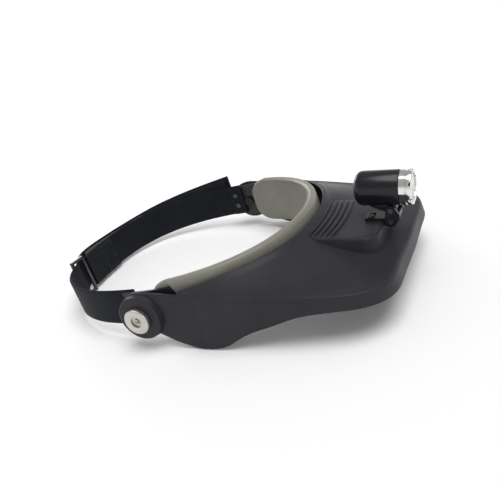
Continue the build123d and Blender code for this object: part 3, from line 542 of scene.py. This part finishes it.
def hood_profile(u):
    """Closed section at each u: top, rounded crease, wall, hem, and back along the inside."""
    rim, edge, hem = hood_corners(u, 0)
    rim_in, edge_in, hem_in = hood_corners(u, hood_wall)
    run = np.linalg.norm((edge - rim)[:, :2], axis=1)[:, None]
    stop = 1 - np.minimum(crease_round / run, 0.45)
    top = hood_top(rim, edge, np.linspace(0, 1, 44) ** 1.5 * stop, bead_height)
    drop = hem - edge
    drop /= np.linalg.norm(drop, axis=1, keepdims=True)
    r = hood_wall / 2
    start, end = edge + drop * crease_round, hem - drop * r
    crease = rounded(top[:, -1], edge, start, 9)[:, 1:-1]
    wall = start[:, None] + (end - start)[:, None] * np.linspace(0, 1, 12)[:, None]
    start_in, end_in = edge_in + drop * crease_round_inside, hem_in - drop * r
    turn = np.linspace(0, math.pi, 9)[1:-1, None]
    foot = ((end + end_in) / 2)[:, None] + (end - end_in)[:, None] / 2 * np.cos(turn)
    foot = foot + drop[:, None] * r * np.sin(turn)
    wall_in = end_in[:, None] + (start_in - end_in)[:, None] * np.linspace(0, 1, 8)[:, None]
    stop_in = 1 - np.minimum(crease_round_inside / run, 0.3)
    top_in = hood_top(rim_in, edge_in, np.linspace(1, 0, 20) * stop_in, 0.0)
    crease_in = rounded(start_in, edge_in, top_in[:, 0], 5)[:, 1:-1]
    back = (rim - edge) * np.array([1, 1, 0])
    back /= np.linalg.norm(back, axis=1, keepdims=True)
    spin = np.linspace(-math.pi / 2, math.pi / 2, 9)[1:-1, None]
    middle, half = (top[:, :1] + top_in[:, -1:]) / 2, (top[:, :1] - top_in[:, -1:]) / 2
    bulge = back[:, None] * np.linalg.norm(half, axis=-1, keepdims=True)
    lip = middle + half * np.sin(spin) + bulge * np.cos(spin)
    return np.concatenate([top, crease, wall, foot, wall_in, crease_in, top_in, lip], 1)


hood_plastic = finish("hood_plastic", hood_grey, hood_worn, 0.38, 0.0007, 0.000018,
                      Specular_IOR_Level=0.16)
hood = skin("hood_moulding", hood_profile(np.linspace(-1, 1, 321)), "hood", hood_plastic, hood_pitch)
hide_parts("hood_shell")


# ==== Ears and bosses of the hood ====
# At each temple the same moulding has a flat round ear on the tilt screw, thickened outside
# by a turned boss that the clamp knob presses on.
ear_radius, ear_middle = 15.6, (4.0, -1.0)
ear_edge = [(20, -17.6), (27, -19.7), (34, -21.1), (40, -21.2), (40, 15.0), (27, 15.6), (14, 16.0),
            (6, 15.9)]
ear_steps = [(0.9, 85.9), (0.0, 86.6), (0.0, 87.3), (0.25, 87.8), (0.9, 88.06)]
boss_profile = [(2.4, 86.0), (15.2, 86.0), (15.0, 88.3), (14.75, 88.9), (14.65, 91.0), (14.45, 91.8),
                (13.9, 92.15), (13.2, 92.2), (2.4, 92.2)]


def ear_plate(name, side):
    """A disc round the tilt axis whose edges run forward into the wing, carried outward in
    steps of (inset, distance from the middle) that round its edges."""
    turn = np.radians(np.linspace(90, 305, 44))
    disc = ear_radius * np.stack([np.cos(turn), np.sin(turn)], 1)
    ring = np.r_[disc, np.array(ear_edge)]
    away = ring - np.array(ear_middle)
    away /= np.linalg.norm(away, axis=1, keepdims=True)
    rows = [np.c_[ring - away * inset, np.full(len(ring), y)] for inset, y in ear_steps]
    points = np.stack(rows)[..., [0, 2, 1]] * np.array([1, side, 1])
    return skin(name, points, "hood", hood_plastic, hood_pitch)


def turned(profile, spin):
    """A profile of (radius, distance) spun about its axis; points are (along, across, across)."""
    radius, reach = np.array(profile, float).T
    far = reach[:, None] + 0 * spin
    return np.stack([far, radius[:, None] * np.cos(spin), radius[:, None] * np.sin(spin)], -1)


full_turn = np.linspace(0, 2 * math.pi, 96, endpoint=False)
for side, name in ((-1, "right"), (1, "left")):
    ear_plate(name + "_ear", side)
    spun = turned(boss_profile, full_turn)[..., [1, 0, 2]] * np.array([1, side, 1])
    skin(name + "_boss", spun, "hood", hood_plastic, hood_pitch)


# ==== Lamp platform ====
# A drafted box moulded up out of the hood's top, hollow below, for the lamp's foot. Five
# curved ribs across its rear give the fingers a grip when the hood is tilted.
platform_rear, platform_front, platform_half = 88.0, 132.2, 29.0
platform_top, platform_floor, platform_corner = 22.7, 10.4, 9.0
platform_draft, platform_edge = math.tan(math.radians(8.0)), 1.5
platform_wall, platform_roof, wall_inset, roof_inset, roof_round = 2.0, 2.0, 2.2, 3.4, 1.2
rib_first, rib_pitch, rib_count, rib_bend = 92.2, 3.7, 5, 164.0
rib_half, rib_height, rib_width = 26.6, 1.3, 1.9


def rounded_ring(half_x, half_y, corner, count=18):
    """A rectangle's outline with round corners: points and outward headings, anticlockwise."""
    turn = np.linspace(0, math.pi / 2, count)
    starts = np.arange(4)[:, None] * math.pi / 2
    angle = (starts + turn).ravel()
    out = np.stack([np.cos(angle), np.sin(angle)], 1)
    signs = np.repeat([(1, 1), (-1, 1), (-1, -1), (1, -1)], count, axis=0)
    return signs * np.array([half_x - corner, half_y - corner]) + corner * out, out


def lamp_platform():
    """Rings from the middle of the top, round its edge, down the draft and back up inside."""
    half_x = (platform_front - platform_rear) / 2
    ring, out = rounded_ring(half_x, platform_half, platform_corner)
    turn = np.linspace(math.pi / 2, math.radians(8), 7)
    rows = [(scale, -platform_edge, platform_top) for scale in (thinnest, 0.5, 0.85)]
    rows += [(1, platform_edge * (math.cos(a) - 1), platform_top + platform_edge * (math.sin(a) - 1))
             for a in turn]
    drop = np.linspace(platform_top - platform_edge, platform_floor, 8)
    rows += [(1, (platform_top - platform_edge - z) * platform_draft, z) for z in drop[1:]]
    roof = platform_top - platform_roof
    rows += [(1, rows[-1][1] - platform_wall, platform_floor), (1, -wall_inset, roof - roof_round),
             (0.9, -roof_inset, roof), (thinnest, -roof_inset, roof)]
    scale, inset, z = np.array(rows).T[:, :, None]
    plan = ring * scale[..., None] + out * (inset * scale)[..., None]
    plan = plan + np.array([(platform_front + platform_rear) / 2, 0])
    points = np.concatenate([plan, np.broadcast_to(z[..., None], plan.shape[:2] + (1,))], -1)
    return skin("lamp_platform", points, "hood", hood_plastic, hood_pitch)


def grip_rib(k):
    """A half-round ridge along an arc across the platform, sinking away at its ends."""
    s = np.sin(np.linspace(-1, 1, 61) * math.pi / 2)[:, None]
    angle = s * math.asin(rib_half / rib_bend)
    round_off = np.sqrt(np.clip(1 - s ** 16, thinnest, 1))
    turn = np.linspace(0, 2 * math.pi, 16, endpoint=False)
    radius = rib_bend + rib_width / 2 * np.cos(turn) * round_off
    x = rib_first + k * rib_pitch - rib_bend + radius * np.cos(angle)
    z = platform_top + rib_height * np.sin(turn) * round_off + 0 * angle
    points = np.stack([x, radius * np.sin(angle), z], -1)
    return skin(f"grip_rib_{k + 1}", points, "hood", hood_plastic, hood_pitch)


lamp_platform()
for k in range(rib_count):
    grip_rib(k)


# ==== Tilt screws, washers and knobs ====
# A steel screw is fixed in each temple ear, a nylon washer lies under the hood's ear, and a
# nickel-plated knob with a straight knurl and a dished middle clamps the hood.
knob_start, knob_end, knob_radius, knob_flutes = 92.3, 96.1, 8.4, 44
flute_depth, flute_below = 0.36, 0.30
nickel, nickel_worn = (0.62, 0.60, 0.55), (0.50, 0.48, 0.44)
steel, steel_worn = (0.45, 0.45, 0.44), (0.36, 0.36, 0.35)
nylon_white, nylon_yellowed = (0.62, 0.60, 0.55), (0.54, 0.52, 0.47)
# The pivot screws' inner heads take painted shade in this dark colour, out to this distance from the
# middle in metres.
inner_head_shade, shade_within = (0.03, 0.03, 0.035), 0.088

steel_finish = finish("turned_steel", steel, steel_worn, 0.32, 0.0004, 0.00001, Metallic=1.0)
nylon = finish("nylon", nylon_white, nylon_yellowed, 0.5, 0.0005, 0.00001)
nickel_finish = finish("nickel_plate", nickel, nickel_worn, 0.30, 0.0005, 0.000012, Metallic=1.0)


def clamp_knob(side, name):
    """A turned disc whose rim is cut by straight flutes and whose middle is dished."""
    rim = knob_radius
    half = [(2.05, knob_start), (rim - 0.6, knob_start), (rim, 92.8), (rim, 93.6), (rim, 94.6),
            (rim, 95.4), (rim - 0.35, 95.85), (rim - 0.8, knob_end), (5.8, knob_end),
            (4.0, knob_end), (3.65, 95.85), (3.5, 95.2), (3.4, 94.6), (2.05, 94.6)]
    radius, reach = np.array(half).T
    spin = np.linspace(0, 2 * math.pi, knob_flutes * 6, endpoint=False)
    cut = flute_depth * np.abs(np.sin(spin * knob_flutes / 2)) - flute_below
    r = radius[:, None] + np.where(radius > rim - 0.1, 1.0, 0.0)[:, None] * cut
    points = np.stack([r * np.cos(spin), side * reach[:, None] + 0 * spin, r * np.sin(spin)], -1)
    knob = skin(name, points, name, nickel_finish, band_pitch)
    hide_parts(name)


def screw_steel():
    """Turned steel with painted shade on its inner head: dark nearer the middle than the hood's ear."""
    made = finish("screw_steel", steel, steel_worn, 0.32, 0.0004, 0.00001, Metallic=1.0)
    tree = made.node_tree
    shader = tree.nodes["Principled BSDF"]
    across = tree.nodes.new("ShaderNodeSeparateXYZ")
    tree.links.new(tree.nodes["Texture Coordinate"].outputs["Object"], across.inputs[0])
    size = tree.nodes.new("ShaderNodeMath")
    size.operation = "ABSOLUTE"
    tree.links.new(across.outputs["Y"], size.inputs[0])
    outside = tree.nodes.new("ShaderNodeMath")
    outside.operation = "GREATER_THAN"
    outside.inputs[1].default_value = shade_within
    tree.links.new(size.outputs["Value"], outside.inputs[0])
    bright = shader.inputs["Base Color"].links[0].from_socket
    # Painted shade: nearer the middle than the hood's ear, the steel's colour is swapped for near
    # black.
    mix = tree.nodes.new("ShaderNodeMix")
    mix.data_type = "RGBA"
    mix.inputs["A"].default_value = (*inner_head_shade, 1)
    tree.links.new(outside.outputs["Value"], mix.inputs["Factor"])
    tree.links.new(bright, mix.inputs["B"])
    tree.links.new(mix.outputs["Result"], shader.inputs["Base Color"])
    return made


pivot_steel = screw_steel()
for side, name in ((-1, "right"), (1, "left")):
    clamp_knob(side, name + "_knob")
    coat_node(name + "_pivot_screw", pivot_steel)
    coat_node(name + "_friction_washer", nylon)


# ==== Lens and its frame ====
# A clear acrylic lens snaps into a black frame that hangs from two steel pins under the
# hood's front edge. It lies folded up under the hood and swings down in front of the eyes.
acrylic, acrylic_handled = (0.93, 0.96, 0.97), (0.90, 0.94, 0.95)
clear_acrylic = finish("clear_acrylic", acrylic, acrylic_handled, 0.06, 0.002, 0.000002,
                       Transmission_Weight=1.0, IOR=1.49)
coat_node("lens", clear_acrylic)
coat_node("lens_holder", hood_plastic)
coat_node("lens_hinge_pins", steel_finish)


# ==== Lamp foot and link ====
# A foot on two screws holds the lower pin, and a link of two cheeks carries the upper pin
# under the lamp. All are black nylon mouldings on blackened steel pins.
joint_black = (0.009, 0.009, 0.012)
blackening, blackening_rubbed = (0.05, 0.05, 0.055), (0.12, 0.12, 0.125)
pin_grey, pin_rubbed = (0.16, 0.16, 0.165), (0.24, 0.24, 0.24)
joint_plastic = finish("joint_plastic", joint_black, worn_plastic, 0.32, 0.0006, 0.000012,
                       Specular_IOR_Level=0.4)
black_steel = finish("black_steel", blackening, blackening_rubbed, 0.35, 0.0005, 0.00001, Metallic=0.8)
pin_steel = finish("pin_steel", pin_grey, pin_rubbed, 0.3, 0.0005, 0.00001, Metallic=1.0)
for part, material in (("lamp_bracket", joint_plastic), ("lamp_link", joint_plastic),
                       ("lower_lamp_pin", pin_steel), ("upper_lamp_pin", pin_steel),
                       ("bracket_screws", black_steel)):
    coat_node(part, material)


# ==== What is inside the lamp ====
# Three button cells in a nylon sleeve stand on a coil spring and press a small board with
# a clear diode into the bright cup of the lamp's head.
cell_bright, cell_dull = (0.55, 0.55, 0.53), (0.48, 0.48, 0.46)
board_dark, board_pale = (0.03, 0.13, 0.05), (0.05, 0.16, 0.07)
resin, resin_amber = (0.95, 0.94, 0.86), (0.93, 0.92, 0.84)
silvering, silvering_dull = (0.85, 0.85, 0.84), (0.8, 0.8, 0.79)
cell_steel = finish("cell_steel", cell_bright, cell_dull, 0.25, 0.0006, 0.000006, Metallic=1.0)
board_green = finish("board_green", board_dark, board_pale, 0.4, 0.0008, 0.00002)
diode_clear = finish("diode_clear", resin, resin_amber, 0.08, 0.001, 0.000002,
                     Transmission_Weight=0.85, IOR=1.5)
bright_cup = finish("bright_cup", silvering, silvering_dull, 0.12, 0.001, 0.000006, Metallic=1.0)
for part, material in (("battery_sleeve", nylon), ("contact_spring", steel_finish),
                       ("button_cells", cell_steel), ("led_board", board_green),
                       ("led", diode_clear), ("reflector", bright_cup),
                       ("lamp_window", clear_acrylic)):
    coat_node(part, material)


# ==== Lamp body ====
# A short black tube with a domed tail, moulded in one with the saddle under it that turns
# on the upper pin.
lamp_height, lamp_radius, lamp_tail, lamp_mouth = 42.5, 10.6, 115.7, 142.8
lamp_bore, lamp_floor, tail_round = 8.6, 117.9, 5.0
upper_pin, lug_radius = (136.8, 30.2), 3.4
lamp_black, lamp_worn = (0.0070, 0.0078, 0.0110), (0.0100, 0.0108, 0.0145)
lamp_plastic = finish("lamp_plastic", lamp_black, lamp_worn, 0.27, 0.0008, 0.000008,
                      Specular_IOR_Level=0.3, Coat_Weight=0.08, Coat_Roughness=0.12)


def lamp_body():
    """A blind tube: quarter-round tail, straight side, a small round at the mouth, the bore."""
    turn = np.linspace(0, math.pi / 2, 9)
    tail = [(lamp_radius + tail_round * (math.sin(a) - 1), lamp_tail + tail_round * (1 - math.cos(a)))
            for a in turn]
    mouth = [(lamp_radius, lamp_mouth - 0.4), (lamp_radius - 0.12, lamp_mouth - 0.12),
             (lamp_radius - 0.4, lamp_mouth), (lamp_bore + 0.3, lamp_mouth),
             (lamp_bore, lamp_mouth - 0.3)]
    profile = [(thinnest, lamp_tail)] + tail + mouth + [(lamp_bore, lamp_floor), (thinnest, lamp_floor)]
    points = turned(profile, full_turn) + np.array([0, 0, lamp_height])
    return skin("lamp_body", points, "lamp", lamp_plastic, hood_pitch)


def lamp_saddle():
    """Side view of the saddle, carried across from side to side with its edges rounded."""
    turn = np.radians(np.linspace(-150, 20, 22))
    lug = np.array(upper_pin) + lug_radius * np.stack([np.cos(turn), np.sin(turn)], 1)
    ring = np.r_[lug, [(140.4, 33.5), (140.4, 36.0), (123.5, 36.0), (123.5, 33.6), (124.6, 32.2),
                       (129.0, 30.4)]]
    middle = ring.mean(0)
    steps = [(0.12, -4.9), (0.03, -4.7), (0.0, -4.3), (0.0, 4.3), (0.03, 4.7), (0.12, 4.9)]
    rows = [np.c_[middle + (ring - middle) * (1 - inset), np.full(len(ring), y)] for inset, y in steps]
    return skin("lamp_saddle", np.stack(rows)[..., [0, 2, 1]], "lamp", lamp_plastic, hood_pitch)


body = lamp_body()
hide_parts("lamp_housing")
for piece in (body, lamp_saddle()):
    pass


# ==== Lamp head ====
# A chromed ring with a groove and six finger notches turns in the tube to switch the lamp.
# It carries the bright cup and the clear window.
head_start, head_end, head_hole = 142.95, 150.5, 8.3
notch_count, notch_depth, notch_floor, notch_steepness, notch_share = 6, 1.7, 147.9, 14, 0.72
chrome_bright, chrome_dull = (0.80, 0.79, 0.76), (0.72, 0.71, 0.68)
chrome = finish("chrome", chrome_bright, chrome_dull, 0.12, 0.001, 0.000006, Metallic=1.0)


def lamp_head():
    """A turned ring whose front edge is notched: depth follows a steep wave round the ring."""
    half = [(8.55, 139.3), (8.55, head_start), (10.3, head_start), (10.6, 143.2), (10.6, 146.6),
            (10.15, 146.9), (10.15, 147.5), (10.6, 147.8), (10.6, 149.4), (10.5, 150.0),
            (10.2, 150.4), (9.7, head_end), (8.8, head_end), (head_hole, 150.2), (head_hole, 149.9),
            (9.2, 149.85), (9.2, 143.8), (7.4, 143.8), (7.4, 139.3)]
    radius, reach = np.array(half).T
    spin = np.linspace(0, 2 * math.pi, 288, endpoint=False)
    notch = 1 / (1 + np.exp(-notch_steepness * (np.cos(spin * notch_count) - notch_share)))
    front = np.clip((reach - notch_floor) / (head_end - notch_floor), 0, 1)[:, None]
    far = reach[:, None] - notch_depth * notch * front
    r = radius[:, None] + 0 * spin
    points = np.stack([far, r * np.sin(spin), r * np.cos(spin) + lamp_height], -1)
    points = np.concatenate([points, points[:1]], 0)
    return skin("lamp_head_ring", points, "lamp_head", chrome, hood_pitch, ends=False)


head = lamp_head()
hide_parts("lamp_bezel")


# ==== Ring, rivets and hook tape ====
# The ring is bent from blackened wire and the rivets are blackened steel. Grey hook tape and
# a length of black loop tape are sewn end to end inside the long strap's overlap.
tape_start, tape_join, tape_end = long_tail + 2, 150.0, 186
tape_depth, tape_half, tape_inset = 1.2, 0.45, 1.5
hook_fresh, hook_fluffed = (0.085, 0.085, 0.075), (0.12, 0.12, 0.105)
loop_fresh, loop_fluffed = (0.010, 0.0105, 0.0135), (0.016, 0.0165, 0.020)
hook_grey = finish("hook_tape", hook_fresh, hook_fluffed, 0.8, 0.0004, 0.0004)
loop_black = finish("loop_tape", loop_fresh, loop_fluffed, 0.85, 0.0004, 0.0004,
                    Specular_IOR_Level=0.2)
coat_node("strap_ring", black_steel)
coat_node("strap_rivets", black_steel)
for name, start, end, tape in (("hook_tape", tape_join + 0.3, tape_end, hook_grey),
                               ("loop_tape", tape_start, tape_join, loop_black)):
    run = np.linspace(start, end, 90)
    offset, lift = long_strap_line(run)
    strip = strap(name, run, offset - tape_depth, lift, tape, tape_half, tape_inset)
    if name == "hook_tape":
        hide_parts("hook_patch")


# ==== Stitching ====
# Black thread sews a box through the short strap's fold behind the ring and a row through
# its hem at the ear.
thread_length, thread_round, strap_radius = 2.3, 0.28, 86
seam_rows, seam_inset = 7, 2.2
box_start, box_end, box_pitch, hem_seam = 174.2, 181.4, 2.1, 99.6
thread_black, thread_worn = (0.018, 0.0185, 0.022), (0.028, 0.029, 0.033)
thread = finish("thread", thread_black, thread_worn, 0.6, 0.0002, 0.00005)


def stitches(name, degrees, height, offset, upright=False):
    """Short capsules of thread lying on a strap: each an ellipse of length and round section."""
    along = np.linspace(-1, 1, 7)
    turn = np.linspace(0, 2 * math.pi, 7)[:-1]
    bulge = np.sqrt(np.clip(1 - along ** 2, 0.01, 1))[:, None]
    reach = (along * thread_length / 2)[:, None] + 0 * turn
    across, out = thread_round * bulge * np.cos(turn), thread_round * bulge * np.sin(turn)
    per_degree = math.radians(1) * strap_radius
    shift, lift = (across, reach) if upright else (reach, across)
    made = []
    for number, (a, z) in enumerate(zip(degrees, height)):
        points = beside_loop(a + shift / per_degree, offset + out, z + lift)
        made.append(skin(f"{name}_{number}", points, "headband", thread, band_pitch))
    with bpy.context.temp_override(active_object=made[0], selected_editable_objects=made):
        bpy.ops.object.join()
    made[0].name = name


inner_face = strap_middle - strap_thickness * 1.47
rows = np.linspace(band_low + seam_inset, band_high - seam_inset, seam_rows)
box_run = np.arange(box_start + 0.2, box_end - 0.4, box_pitch)
stitches("fold_seam", np.repeat([box_start, box_end], seam_rows), np.tile(rows, 2), inner_face, True)
stitches("fold_rows", np.tile(box_run, 2), np.repeat([rows[0], rows[-1]], len(box_run)), inner_face)
stitches("hem_seam", np.full(seam_rows, hem_seam), rows, inner_face, True)
